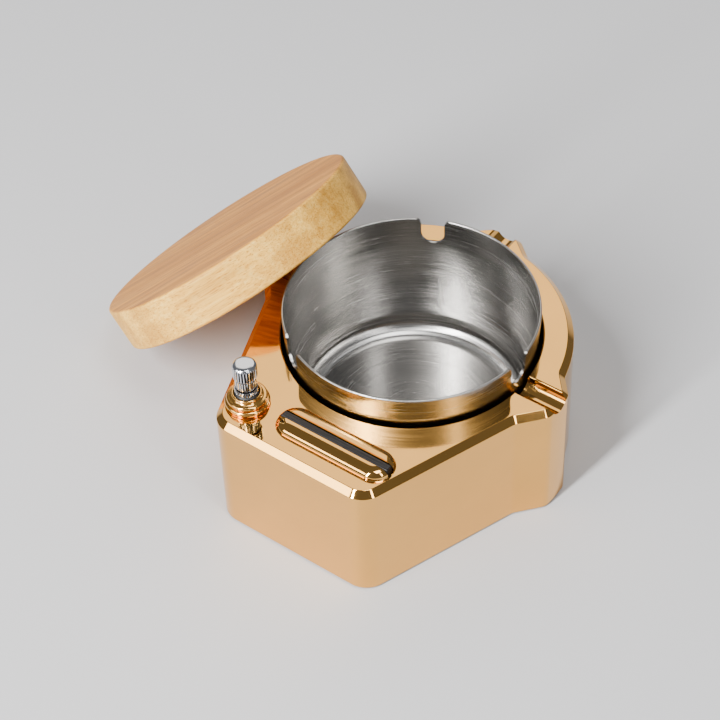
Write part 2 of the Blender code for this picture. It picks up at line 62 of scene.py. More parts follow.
# Housing: the CAD's sizes, with finely rounded edges and lips.
DECK_Z = 54.6
HOUSING_BOTTOM = 0.6
CHAMFER = 2.5
DECK_THICK = 2.5
WALL = 2.2
FRONT_Y = 80.8
FRONT_HALF = 34.8
SIDE_ANGLE = math.radians(20.6)
FRONT_CORNER_R = 10.0
BODY_R = 62.8
LOBE_R = 68.0
LOBE_SIDE_DIST = 55.7
LOBE_SIDE_ANGLE = math.radians(40.5)
LOBE_CORNER_R = 5.0
LOBE_FILLET_R = 6.0
EDGE_ROUND = 0.45
HOLE_R = 50.8
HOLE_LIP = 0.9
GROOVE_R = 4.8
TROUGH_HALF = 6.4
GROOVE_LIP = 0.9
REST_ANGLES = (0.0, 90.0, 180.0)
LIP_SLOPE = math.radians(14)

# Screw posts under the deck, and their pilot holes.
POST_R = 3.6
POST_POSITIONS = ((61.5, 0.0), (0.0, 61.5), (-61.5, 0.0), (27.5, -72.5))
POST_BOTTOM = 3.6
POST_TOP = DECK_Z - 1.2
PILOT_R = 1.3
PILOT_TOP = 16.0

# Raised holder of the flint bar, and the bar. The slot's floor stays just above the deck, so that its
# cutter doesn't notch the deck where it runs out past the holder.
MOUND_X = 11.0
MOUND_Y = -64.8
MOUND_LENGTH = 51.0
MOUND_WIDTH = 15.0
MOUND_HEIGHT = 3.6
MOUND_SHOULDER = 4.9
SLOT_WIDTH = 3.7
SLOT_DEPTH = 3.55
ROD_WIDTH = 3.1
ROD_LENGTH = 48.6
ROD_TOP = 3.1

# Bowl.
BOWL_RIM_Z = 67.8
BOWL_RIM_R = 50.0
BOWL_DECK_R = 49.4
BOWL_SHEET = 1.0
BOWL_FLOOR_Z = 8.0
BOWL_CORNER_R = 9.0
NOTCH_WIDTH = 9.4
NOTCH_DEPTH = 11.8
NOTCH_LIP_R = 2.6
NOTCH_ANGLES = (115.0, -1.0, 239.0)

# Match and its collar.
MATCH = (-29.1, -66.0)
KNOB_TOP = 21.0
KNURLS = 26
SOCKET_R = 5.9
SOCKET_DEPTH = 8.0
STEM_R = 1.9
STEM_LOW = 24.5
STEM_HIGH = 42.3
WICK_LOW = 16.0
WICK_HIGH = 24.4
THREAD_PITCH = 0.75
THREAD_TURNS = 13

# Lid, leaning with its lower edge on the table.
LID_R = 57.3
LID_THICK = 18.5
LID_EDGE_R = 1.2
LID_TILT = math.radians(41.8)
LID_AZIMUTH = math.radians(176.5)
LID_CENTRE_X = -90.9
LID_CENTRE_Y = 5.2
GRAIN_ANGLE = math.radians(41)
STRIP_WIDTH = 6.2

# Linear base colour of the gold plate.
GOLD = (0.85, 0.45, 0.115)

# Camera. The target and the distance are in metres.
VIEW_AZIMUTH = math.radians(37.74)
VIEW_ELEVATION = math.radians(46.14)
VIEW_ROLL = math.radians(-2.44)
VIEW_TARGET = (-0.0105, -0.0199, 0.0487)
VIEW_DISTANCE = 0.85
LENS = 110.0

# Lights.
WARM_LIGHT = (1.0, 0.94, 0.86)


# ---------------------------------------------------------------- meshes


def arc(centre, radius, start, end, count=12):
    """Points on an arc from one angle to another, both in radians."""
    step = (end - start) / count
    return [
        (
            centre[0] + radius * math.cos(start + step * i),
            centre[1] + radius * math.sin(start + step * i),
        )
        for i in range(count + 1)
    ]


def at_height(ring, z):
    return [(x, y, z) for x, y in ring]


def circle(radius, count, centre=(0.0, 0.0)):
    return arc(centre, radius, 0.0, 2 * math.pi, count)[:-1]


def loft(levels):
    """A closed body through rings of equal length, each a list of 3D points."""
    bm = bmesh.new()
    rings = [[bm.verts.new(point) for point in ring] for ring in levels]
    count = len(rings[0])
    for low, high in zip(rings, rings[1:]):
        for i in range(count):
            j = (i + 1) % count
            bm.faces.new((low[i], low[j], high[j], high[i]))
    bm.faces.new(reversed(rings[0]))
    bm.faces.new(rings[-1])
    return bm


def turned(profile, count, centre=(0.0, 0.0), hollow=False):
    """A body turned about Z, from (radius, z) pairs that run from axis to axis, or in a loop if hollow."""
    bm = bmesh.new()
    rings = []
    for radius, z in profile:
        if radius < 1e-6:
            rings.append([bm.verts.new((centre[0], centre[1], z))])
        else:
            rings.append([bm.verts.new(p) for p in at_height(circle(radius, count, centre), z)])
    pairs = list(zip(rings, rings[1:]))
    if hollow:
        pairs.append((rings[-1], rings[0]))
    for low, high in pairs:
        for i in range(count):
            j = (i + 1) % count
            if len(low) == 1:
                bm.faces.new((low[0], high[j], high[i]))
            elif len(high) == 1:
                bm.faces.new((low[i], low[j], high[0]))
            else:
                bm.faces.new((low[i], low[j], high[j], high[i]))
    return bm


def box(low, high):
    bm = bmesh.new()
    bmesh.ops.create_cube(bm, size=1.0)
    size = Vector(high) - Vector(low)
    middle = (Vector(high) + Vector(low)) / 2
    for vert in bm.verts:
        vert.co = Vector(c * s for c, s in zip(vert.co, size)) + middle
    return bm


def rotate_z(bm, degrees):
    bmesh.ops.rotate(bm, verts=bm.verts, matrix=Matrix.Rotation(math.radians(degrees), 3, "Z"))
    return bm


def mesh_object(name, bm, scale=MM):
    bmesh.ops.recalc_face_normals(bm, faces=bm.faces)
    for vert in bm.verts:
        vert.co *= scale
    mesh = bpy.data.meshes.new(name)
    bm.to_mesh(mesh)
    bm.free()
    obj = bpy.data.objects.new(name, mesh)
    bpy.context.scene.collection.objects.link(obj)
    return obj


def combine(obj, steps):
    """Runs (operation, bmesh) Booleans on the object in turn and keeps the result as its mesh."""
    helpers = []
    for operation, bm in steps:
        helper = mesh_object("helper", bm)
        modifier = obj.modifiers.new(operation, "BOOLEAN")
        modifier.operation = operation
        modifier.solver = "EXACT"
        modifier.object = helper
        helpers.append(helper)
    graph = bpy.context.evaluated_depsgraph_get()
    result = bpy.data.meshes.new_from_object(obj.evaluated_get(graph))
    obj.modifiers.clear()
    obj.data = result
    for helper in helpers:
        bpy.data.objects.remove(helper)


def finish_piece(obj, mat, body, nodes=(), sharp=30.0):
    """Shades a piece, gives it its material and puts it on its CAD body."""
    for face in obj.data.polygons:
        face.use_smooth = True
    obj.data.set_sharp_from_angle(angle=math.radians(sharp))
    weighted = obj.modifiers.new("weighted_normals", "WEIGHTED_NORMAL")
    weighted.keep_sharp = True
    obj.data.materials.clear()
    obj.data.materials.append(mat)
    if nodes:
        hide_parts(*nodes)
    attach(obj, body)
    return obj


# ---------------------------------------------------------------- materials


def node(tree, kind, inputs=None, **settings):
    """Adds a shader node. Inputs are constants, or sockets to link from."""
    made = tree.nodes.new(kind)
    for key, value in settings.items():
        setattr(made, key, value)
    for key, value in (inputs or {}).items():
        if isinstance(value, bpy.types.NodeSocket):
            tree.links.new(value, made.inputs[key])
        else:
            made.inputs[key].default_value = value
    return made


def shader(name, color, metallic, roughness, **extra):
    """A new material's tree and Principled shader, with constants on its own sockets."""
    mat = bpy.data.materials.new(name)
    mat.use_nodes = True
    bsdf = mat.node_tree.nodes["Principled BSDF"]
    bsdf.inputs["Base Color"].default_value = (*color, 1.0)
    bsdf.inputs["Metallic"].default_value = metallic
    bsdf.inputs["Roughness"].default_value = roughness
    for key, value in extra.items():
        bsdf.inputs[key.replace("_", " ")].default_value = value
    return mat, mat.node_tree, bsdf


def position(tree):
    return node(tree, "ShaderNodeTexCoord").outputs["Object"]


def noise(tree, vector, scale, detail=3.0, rough=0.5):
    made = node(
        tree,
        "ShaderNodeTexNoise",
        {"Vector": vector, "Scale": scale, "Detail": detail, "Roughness": rough},
    )
    return made.outputs["Fac"]


def remap(tree, value, low, high, from_low=0.3, from_high=0.7):
    inputs = {"Value": value, 1: from_low, 2: from_high, 3: low, 4: high}
    return node(tree, "ShaderNodeMapRange", inputs).outputs["Result"]


def math_node(tree, operation, first, second=0.0):
    return node(tree, "ShaderNodeMath", {0: first, 1: second}, operation=operation).outputs[0]


def weighted_sum(tree, first, first_share, second, second_share):
    scaled = [
        math_node(tree, "MULTIPLY", value, share)
        for value, share in ((first, first_share), (second, second_share))
    ]
    return math_node(tree, "ADD", *scaled)


def ramp(tree, value, stops):
    made = node(tree, "ShaderNodeValToRGB", {"Fac": value})
    elements = made.color_ramp.elements
    while len(elements) < len(stops):
        elements.new(0.5)
    for element, (place, color) in zip(elements, stops):
        element.position = place
        element.color = (*color, 1.0)
    return made.outputs["Color"]


def blend_colors(tree, mode, first, second, factor):
    inputs = {0: factor, 6: first, 7: second}
    made = node(tree, "ShaderNodeMix", inputs, data_type="RGBA", blend_type=mode)
    return made.outputs[2]


def bump(tree, bsdf, height, distance, strength=1.0):
    made = node(
        tree,
        "ShaderNodeBump",
        {"Height": height, "Distance": distance, "Strength": strength},
    )
    tree.links.new(made.outputs["Normal"], bsdf.inputs["Normal"])


def connect(tree, source, bsdf, socket):
    tree.links.new(source, bsdf.inputs[socket])


def gold_material(name, haze=0.0):
    """Polished gold plate: a near mirror with fine orange peel, and faint handling haze in the roughness."""
    mat, tree, bsdf = shader(name, GOLD, 1.0, 0.07)
    where = position(tree)
    smudge = noise(tree, where, 38.0, 4.0, 0.6)
    grain = noise(tree, where, 2600.0, 2.0)
    both = math_node(tree, "MULTIPLY", smudge, grain)
    connect(tree, remap(tree, both, 0.04 + haze, 0.12 + haze, 0.12, 0.42), bsdf, "Roughness")
    tone = ramp(tree, smudge, [(0.3, GOLD), (0.75, tuple(c * 0.93 for c in GOLD))])
    connect(tree, tone, bsdf, "Base Color")
    bump(tree, bsdf, noise(tree, where, 420.0, 2.0), 0.0000045)
    return mat


def ring_coordinates(tree, along=0.0005):
    """(radius, height, a little of the angle): noise on it runs in rings, like marks from a lathe."""
    split = node(tree, "ShaderNodeSeparateXYZ", {"Vector": position(tree)})
    x, y, z = split.outputs["X"], split.outputs["Y"], split.outputs["Z"]
    squares = math_node(tree, "ADD", math_node(tree, "MULTIPLY", x, x), math_node(tree, "MULTIPLY", y, y))
    radius = math_node(tree, "SQRT", squares)
    angle = math_node(tree, "ARCTAN2", y, x)
    turned_by = math_node(tree, "MULTIPLY", angle, along)
    joined = node(tree, "ShaderNodeCombineXYZ", {"X": radius, "Y": z, "Z": turned_by})
    return joined.outputs["Vector"]


def bowl_material():
    """Spun steel, brushed round and round, with broad darker bands and a few deeper tool rings."""
    mat, tree, bsdf = shader("bowl_steel", (0.60, 0.59, 0.57), 1.0, 0.3, Anisotropic=0.82)
    rings = ring_coordinates(tree)
    fine = noise(tree, rings, 2600.0, 4.0, 0.65)
    broad = noise(tree, rings, 190.0, 2.0)
    deep = noise(tree, ring_coordinates(tree, 0.0006), 900.0, 1.0)
    streak = weighted_sum(tree, fine, 0.75, broad, 0.25)
    tone = ramp(
        tree, streak,
        [(0.3, (0.34, 0.33, 0.32)), (0.5, (0.41, 0.40, 0.385)), (0.7, (0.50, 0.49, 0.47))],
    )
    connect(tree, tone, bsdf, "Base Color")
    connect(tree, remap(tree, streak, 0.17, 0.28, 0.35, 0.65), bsdf, "Roughness")
    tangent = node(tree, "ShaderNodeTangent", direction_type="RADIAL", axis="Z")
    connect(tree, tangent.outputs["Tangent"], bsdf, "Tangent")
    height = math_node(tree, "ADD", fine, math_node(tree, "MULTIPLY", deep, 0.8))
    bump(tree, bsdf, height, 0.000003)
    return mat


def turned_steel(name, color, roughness, scale=1800.0):
    """Small turned steel parts: fine noise in colour and roughness, and a slight bump."""
    mat, tree, bsdf = shader(name, color, 1.0, roughness)
    where = position(tree)
    fine = noise(tree, where, scale, 4.0)
    connect(tree, remap(tree, fine, roughness * 0.7, roughness * 1.5), bsdf, "Roughness")
    dark = tuple(c * 0.8 for c in color)
    connect(tree, ramp(tree, fine, [(0.35, dark), (0.65, color)]), bsdf, "Base Color")
    bump(tree, bsdf, fine, 0.000006)
    return mat


def knob_material():
    """Bright knurled steel whose knurl valleys carry painted shade, darker the deeper they lie, down to near
    black.
    """
    mat, tree, bsdf = shader("knob_steel", (0.66, 0.68, 0.72), 1.0, 0.18)
    depth = node(tree, "ShaderNodeAttribute", attribute_name="valley").outputs["Fac"]
    spots = noise(tree, position(tree), 1500.0, 3.0)
    # Painted shade: the colour darkens with knurl valley depth, mixed with a little random spotting.
    valley_shade_and_spots = math_node(tree, "ADD", depth, math_node(tree, "MULTIPLY", spots, 0.12))
    tone = ramp(
        tree, valley_shade_and_spots,
        [(0.12, (0.66, 0.68, 0.72)), (0.34, (0.20, 0.20, 0.21)), (0.62, (0.02, 0.02, 0.02))],
    )
    connect(tree, tone, bsdf, "Base Color")
    connect(tree, remap(tree, valley_shade_and_spots, 0.14, 0.5, 0.1, 0.6), bsdf, "Roughness")
    bump(tree, bsdf, spots, 0.000004)
    return mat


def matt_material(name, color, roughness, scale, depth, spread=0.7):
    """Plastic, foam, felt, rubber or cotton: mottled colour, uneven roughness and a grainy surface."""
    mat, tree, bsdf = shader(name, color, 0.0, roughness)
    where = position(tree)
    grain = noise(tree, where, scale, 5.0, 0.65)
    patch = noise(tree, where, scale * 0.06, 2.0)
    mixed = weighted_sum(tree, grain, 0.6, patch, 0.4)
    dark = tuple(c * spread for c in color)
    connect(tree, ramp(tree, mixed, [(0.35, dark), (0.65, color)]), bsdf, "Base Color")
    connect(tree, remap(tree, grain, roughness * 0.85, min(1.0, roughness * 1.15)), bsdf, "Roughness")
    bump(tree, bsdf, grain, depth)
    return mat


def bamboo_material():
    """Laminated bamboo: strips side by side, long fibres with darker vascular bundles, dots on cut ends."""
    side = (0.98, 0.56, 0.095)
    mat, tree, bsdf = shader("bamboo", side, 0.0, 0.5, Specular_IOR_Level=0.25)
    flat = node(tree, "ShaderNodeAttribute", attribute_name="flat_place").outputs["Vector"]
    grain = node(
        tree, "ShaderNodeVectorRotate",
        {"Vector": flat, "Axis": (0.0, 0.0, 1.0), "Angle": -GRAIN_ANGLE},
        rotation_type="AXIS_ANGLE",
    ).outputs["Vector"]
    split = node(tree, "ShaderNodeSeparateXYZ", {"Vector": grain})
    across, depth = split.outputs["Y"], split.outputs["Z"]

    def stretched(length_scale, cross_scale, detail):
        scaled = node(
            tree, "ShaderNodeVectorMath",
            {0: grain, 1: (length_scale, cross_scale, cross_scale)}, operation="MULTIPLY",
        ).outputs["Vector"]
        return noise(tree, scaled, 1.0, detail, 0.6)

    bundles = stretched(120.0, 2300.0, 2.0)
    fibres = stretched(34.0, 1100.0, 4.0)
    bands = stretched(5.0, 120.0, 3.0)
    strip = math_node(tree, "FLOOR", math_node(tree, "MULTIPLY", across, 1 / (STRIP_WIDTH * MM)))
    tint = node(
        tree, "ShaderNodeTexWhiteNoise", {"W": strip}, noise_dimensions="1D"
    ).outputs["Value"]

    # Painted shade: the flat faces, within 0.6 mm of each face, get a darker and redder copy of the side
    # tone.
    off_middle = math_node(tree, "ABSOLUTE", depth)
    on_face = remap(tree, off_middle, 0.0, 1.0, LID_THICK * MM / 2 - 0.0006, LID_THICK * MM / 2)
    side_tone = ramp(tree, fibres, [(0.3, (0.80, 0.40, 0.055)), (0.5, side), (0.7, (1.0, 0.68, 0.17))])
    shaded_face_tone = ramp(
        tree, fibres,
        [(0.3, (0.46, 0.185, 0.025)), (0.5, (0.76, 0.335, 0.050)), (0.7, (0.92, 0.46, 0.085))],
    )
    color = blend_colors(tree, "MIX", side_tone, shaded_face_tone, on_face)
    layers = (
        ramp(tree, bands, [(0.38, (0.74, 0.66, 0.58)), (0.62, (1.0, 1.0, 1.0))]),
        ramp(tree, tint, [(0.0, (0.84, 0.79, 0.73)), (1.0, (1.0, 1.0, 1.0))]),
        ramp(tree, bundles, [(0.33, (0.66, 0.50, 0.36)), (0.45, (1.0, 1.0, 1.0))]),
    )
    for layer in layers:
        color = blend_colors(tree, "MULTIPLY", color, layer, 1.0)
    connect(tree, color, bsdf, "Base Color")
    connect(tree, remap(tree, fibres, 0.42, 0.6), bsdf, "Roughness")
    bump(tree, bsdf, math_node(tree, "ADD", fibres, bundles), 0.00004, 0.6)
    return mat


def flint_material():
    """Ferrocerium: satin black, scraped along its length."""
    mat, tree, bsdf = shader("flint_black", (0.035, 0.033, 0.035), 0.6, 0.42)
    scaled = node(
        tree, "ShaderNodeVectorMath",
        {0: position(tree), 1: (60.0, 2600.0, 2600.0)}, operation="MULTIPLY",
    ).outputs["Vector"]
    scrape = noise(tree, scaled, 1.0, 4.0, 0.65)
    tone = ramp(tree, scrape, [(0.4, (0.012, 0.011, 0.011)), (0.72, (0.05, 0.046, 0.045))])
    connect(tree, tone, bsdf, "Base Color")
    connect(tree, remap(tree, scrape, 0.32, 0.55), bsdf, "Roughness")
    bump(tree, bsdf, scrape, 0.00004)
    return mat


# ---------------------------------------------------------------- outline of the housing


def touch(normal, distance, reach, side):
    """The point at this signed distance from a line and this far from the origin, on the chosen side."""
    along = Vector((-normal.y, normal.x)) * side
    return normal * distance + along * math.sqrt(reach * reach - distance * distance)


def meet(first, first_dist, second, second_dist):
    """Where two lines cross, each given by its normal and its distance from the origin."""
    det = first.x * second.y - first.y * second.x
    x = (first_dist * second.y - second_dist * first.y) / det
    y = (first.x * second_dist - second.x * first_dist) / det
    return Vector((x, y))


def lobe_half(inset):
    """One side of a rest lobe that points along +X, from its middle round to the main circle."""
    normal = Vector((math.cos(LOBE_SIDE_ANGLE), math.sin(LOBE_SIDE_ANGLE)))
    side = LOBE_SIDE_DIST - inset
    outer = LOBE_R - inset
    body = BODY_R - inset
    corner_r = LOBE_CORNER_R - inset
    fillet_r = LOBE_FILLET_R + inset
    corner = touch(normal, side - corner_r, outer - corner_r, -1)
    fillet = touch(normal, side + fillet_r, body + fillet_r, -1)
    corner_angle = math.atan2(corner.y, corner.x)
    fillet_angle = math.atan2(fillet.y, fillet.x)
    points = arc((0, 0), outer, 0, corner_angle, 6)
    points += arc(corner, corner_r, corner_angle, LOBE_SIDE_ANGLE, 14)[1:]
    points += arc(fillet, fillet_r, LOBE_SIDE_ANGLE + math.pi, fillet_angle + math.pi, 16)
    return points, fillet_angle


def lobe_front_half(inset):
    """The front side of the right lobe, from its middle round to the straight side face."""
    normal = Vector((math.cos(LOBE_SIDE_ANGLE), -math.sin(LOBE_SIDE_ANGLE)))
    side = LOBE_SIDE_DIST - inset
    outer = LOBE_R - inset
    corner_r = LOBE_CORNER_R - inset
    fillet_r = LOBE_FILLET_R + inset
    corner = touch(normal, side - corner_r, outer - corner_r, 1)
    corner_angle = math.atan2(corner.y, corner.x)
    face = Vector((math.cos(SIDE_ANGLE), -math.sin(SIDE_ANGLE)))
    face_dist = face.dot(Vector((FRONT_HALF, -FRONT_Y))) - inset
    fillet = meet(normal, side + fillet_r, face, face_dist + fillet_r)
    points = arc(fillet, fillet_r, math.pi - SIDE_ANGLE, math.pi - LOBE_SIDE_ANGLE, 16)
    points += arc(corner, corner_r, -LOBE_SIDE_ANGLE, corner_angle, 14)
    points += arc((0, 0), outer, corner_angle, 0, 6)[1:-1]
    return points


def housing_outline(inset=0.0):
    """The plan of the housing, moved inwards by inset, counter-clockwise from the front centre."""
    corner_r = FRONT_CORNER_R - inset
    front = Vector((0.0, -1.0))
    face = Vector((math.cos(SIDE_ANGLE), -math.sin(SIDE_ANGLE)))
    face_dist = face.dot(Vector((FRONT_HALF, -FRONT_Y))) - inset
    corner = meet(front, FRONT_Y - inset - corner_r, face, face_dist - corner_r)
    right = arc(corner, corner_r, -math.pi / 2, -SIDE_ANGLE, 28)
    right += lobe_front_half(inset)
    half, start = lobe_half(inset)
    right += half
    right += arc((0, 0), BODY_R - inset, start, math.pi / 2 - start, 40)[1:-1]
    right += [(y, x) for x, y in reversed(half)]
    left = [(-x, y) for x, y in reversed(right[:-1])]
    return right + left


# ---------------------------------------------------------------- pieces


def lip(edge, radius):
    """A rounded edge where a cutter's wall at this distance meets the deck, as (distance, z) pairs."""
    points = arc((edge + radius, -radius), radius, math.pi, math.pi / 2 + LIP_SLOPE, 8)
    last = points[-1]
    rise = 0.75
    return points + [(last[0] + rise / math.tan(LIP_SLOPE), last[1] + rise)]


def housing_levels():
    """(inset, z) from the foot up: wall, rounded edge, chamfer, rounded edge and deck."""
    turn = math.radians(45)
    reach = EDGE_ROUND * math.tan(turn / 2)
    levels = [(0.5, HOUSING_BOTTOM), (0.12, HOUSING_BOTTOM + 0.12), (0.0, HOUSING_BOTTOM + 0.5)]
    low = arc((EDGE_ROUND, DECK_Z - CHAMFER - reach), EDGE_ROUND, math.pi, math.pi - turn, 5)
    high_x = CHAMFER + reach
    high = arc((high_x, DECK_Z - EDGE_ROUND), EDGE_ROUND, math.pi - turn, math.pi / 2, 5)
    return levels + low + high


def mound_bm():
    """The half-round holder with a small fillet round its foot."""
    section = [(-0.4, -0.4), (-0.35, 0.02), (-0.2, 0.1), (-0.07, 0.28)]
    section += [
        (MOUND_SHOULDER * (1 - math.cos(t)), 0.5 + (MOUND_HEIGHT - 0.5) * math.sin(t))
        for t in (math.pi / 2 * i / 14 for i in range(15))
    ]
    straight = (MOUND_LENGTH - MOUND_WIDTH) / 2
    levels = []
    for inset, z in section:
        radius = MOUND_WIDTH / 2 - inset
        right = arc((MOUND_X + straight, MOUND_Y), radius, -math.pi / 2, math.pi / 2, 28)
        left = arc((MOUND_X - straight, MOUND_Y), radius, math.pi / 2, 1.5 * math.pi, 28)
        levels.append(at_height(right + left, DECK_Z + z))
    return loft(levels)


def groove_bm():
    """A half-round trough cutter along +X whose lips are rounded over onto the deck."""
    lip_x = math.sqrt((GROOVE_R + GROOVE_LIP) ** 2 - GROOVE_LIP**2)
    meet_angle = math.atan2(-GROOVE_LIP, lip_x)
    bottom = arc((0, 0), GROOVE_R, meet_angle, -math.pi - meet_angle, 32)
    right = arc((lip_x, -GROOVE_LIP), GROOVE_LIP, math.pi + meet_angle, math.pi / 2 + LIP_SLOPE, 8)
    rise = (right[-1][0] + 2.0, right[-1][1] + 2.0 * math.tan(LIP_SLOPE))
    right = [*right[1:], rise]
    left = [(-x, z) for x, z in right]
    ring = list(reversed(right)) + bottom + left
    ring += [(-rise[0], 4.0), (rise[0], 4.0)]
    return loft([[(x, y, DECK_Z + z) for y, z in ring] for x in (40.0, 80.0)])


def slot_bm():
    """The flint bar's slot: closed at the left end, open through the right end, with broken edges."""
    half = SLOT_WIDTH / 2
    top = MOUND_HEIGHT
    ring = [(-half, top - SLOT_DEPTH), (half, top - SLOT_DEPTH), (half, top - 0.5), (half + 0.35, top + 0.2)]
    ring += [(half + 0.35, top + 2.0), (-half - 0.35, top + 2.0)]
    ring += [(-half - 0.35, top + 0.2), (-half, top - 0.5)]
    x0 = MOUND_X - MOUND_LENGTH / 2 + 1.2
    x1 = MOUND_X + MOUND_LENGTH / 2 + 2.0
    return loft([[(x, MOUND_Y + y, DECK_Z + z) for y, z in ring] for x in (x0, x1)])


def make_housing(mat):
    levels = [at_height(housing_outline(inset), z) for inset, z in housing_levels()]
    housing = mesh_object("housing_shell", loft(levels))
    inner = housing_outline(WALL)
    steps = [("DIFFERENCE", loft([at_height(inner, -5.0), at_height(inner, DECK_Z - DECK_THICK)]))]
    for centre in POST_POSITIONS:
        ring = circle(POST_R, 40, centre)
        steps.append(("UNION", loft([at_height(ring, POST_BOTTOM), at_height(ring, POST_TOP)])))
    for turn in REST_ANGLES:
        low = (47.0, -TROUGH_HALF, DECK_Z - 8.0)
        trough = box(low, (LOBE_R - 1.2, TROUGH_HALF, DECK_Z - 2.0))
        steps.append(("UNION", rotate_z(trough, turn)))
    steps.append(("UNION", mound_bm()))
    well = [(HOLE_R, -10.0 - DECK_Z)] + lip(HOLE_R, HOLE_LIP)
    well = [(r, DECK_Z + z) for r, z in well]
    well.append((well[-1][0], DECK_Z + 4.0))
    steps.append(("DIFFERENCE", loft([at_height(circle(r, 256), z) for r, z in well])))
    for turn in REST_ANGLES:
        steps.append(("DIFFERENCE", rotate_z(groove_bm(), turn + 0.03)))
    for centre in POST_POSITIONS:
        ring = circle(PILOT_R, 24, centre)
        steps.append(("DIFFERENCE", loft([at_height(ring, 0.0), at_height(ring, PILOT_TOP)])))
    socket = [at_height(circle(SOCKET_R, 64, MATCH), z) for z in (DECK_Z - SOCKET_DEPTH, DECK_Z + 3.0)]
    steps.append(("DIFFERENCE", loft(socket)))
    steps.append(("DIFFERENCE", slot_bm()))
    combine(housing, steps)
    finish_piece(housing, mat, "base", ["base_housing"], 24.0)


def bowl_profile():
    """The liner's section from its bottom centre up the outside, over the rim and down to the floor."""
    taper = (BOWL_RIM_R - BOWL_DECK_R) / (BOWL_RIM_Z - DECK_Z)
    foot_r = BOWL_DECK_R - 0.6
    outer_r = BOWL_CORNER_R + BOWL_SHEET
    bottom = BOWL_FLOOR_Z - BOWL_SHEET
    rim = (BOWL_RIM_R - BOWL_SHEET / 2, BOWL_RIM_Z - BOWL_SHEET / 2)
    profile = [(0.0, bottom)]
    profile += arc((foot_r - outer_r, bottom + outer_r), outer_r, -math.pi / 2, 0, 16)
    profile += [(BOWL_DECK_R - taper, DECK_Z - 1.0)]
    profile += arc(rim, BOWL_SHEET / 2, 0, math.pi, 8)
    profile += [(BOWL_DECK_R - taper - BOWL_SHEET, DECK_Z - 1.0)]
    inner_corner = (foot_r - outer_r, BOWL_FLOOR_Z + BOWL_CORNER_R)
    profile += reversed(arc(inner_corner, BOWL_CORNER_R, -math.pi / 2, 0, 20))
    profile += [(30.6, BOWL_FLOOR_Z), (30.0, BOWL_FLOOR_Z - 0.12), (29.4, BOWL_FLOOR_Z - 0.12)]
    profile += [(28.8, BOWL_FLOOR_Z), (0.0, BOWL_FLOOR_Z)]
    return profile


def notch_bm():
    """A cutter along +X for a round-bottomed notch whose upper corners are rounded over."""
    half = NOTCH_WIDTH / 2
    base = BOWL_RIM_Z - NOTCH_DEPTH + half
    centre_z = BOWL_RIM_Z - NOTCH_LIP_R
    ring = arc((0.0, base), half, -math.pi, 0, 32)
    right = arc((half + NOTCH_LIP_R, centre_z), NOTCH_LIP_R, math.pi, math.pi / 2, 12)
    ring += right + [(right[-1][0], BOWL_RIM_Z + 2.0), (-right[-1][0], BOWL_RIM_Z + 2.0)]
    ring += [(-y, z) for y, z in reversed(right)]
    return loft([[(x, y, z) for y, z in ring] for x in (40.0, 56.0)])


def make_bowl(mat):
    bowl = mesh_object("bowl_liner", turned(bowl_profile(), 224))
    combine(bowl, [("DIFFERENCE", rotate_z(notch_bm(), turn)) for turn in NOTCH_ANGLES])
    finish_piece(bowl, mat, "bowl", ["ash_bowl"], 40.0)


def make_collar(mat):
    """The neck: two rolled rings, a waist and a thin lip round the seal, with the sleeve below."""
    base = DECK_Z + 0.03
    profile = [(4.3, DECK_Z - 5.6), (5.8, DECK_Z - 5.6), (5.8, base), (8.1, base)]
    profile += arc((7.55, base + 1.2), 1.15, -math.pi / 3, math.pi * 0.46, 14)
    profile += [(7.1, base + 2.36)]
    profile += arc((6.95, base + 3.35), 0.95, -math.pi * 0.44, math.pi * 0.44, 14)
    profile += [(6.6, base + 4.33), (6.15, base + 4.5), (5.75, base + 4.9)]
    profile += arc((5.4, DECK_Z + 5.62), 0.55, -math.pi / 5, math.pi, 12)
    profile += [(4.85, base + 4.6), (4.3, base + 4.2)]
    ring = mesh_object("match_neck_collar", turned(profile, 96, MATCH, hollow=True))
    finish_piece(ring, mat, "base", ["neck_collar"], 34.0)


def knurled_ring(radius, depth, z):
    """A ring of straight knurls, each a flat land and a rounded valley."""
    share = ((0.0, 0.0), (0.16, 0.0), (0.34, 0.65), (0.5, 1.0), (0.66, 0.65), (0.84, 0.0))
    ring = []
    for i in range(KNURLS):
        for part, cut in share:
            angle = 2 * math.pi * (i + part - 0.08) / KNURLS
            r = radius - depth * cut
            ring.append((MATCH[0] + r * math.cos(angle), MATCH[1] + r * math.sin(angle), DECK_Z + z))
    return ring


def mark_valleys(obj, widest):
    """Stores how deep each point lies under the knob's widest radius, for the painted shade in the knurl
    valleys.
    """
    marks = obj.data.attributes.new("valley", "FLOAT", "POINT")
    for vert, mark in zip(obj.data.vertices, marks.data):
        radius = math.hypot(vert.co.x / MM - MATCH[0], vert.co.y / MM - MATCH[1])
        level = vert.co.z / MM - DECK_Z
        reach = next(r for top, r in widest if level <= top)
        under_cap = level < KNOB_TOP - 0.9
        mark.value = max(0.0, reach - radius) if under_cap else 0.0


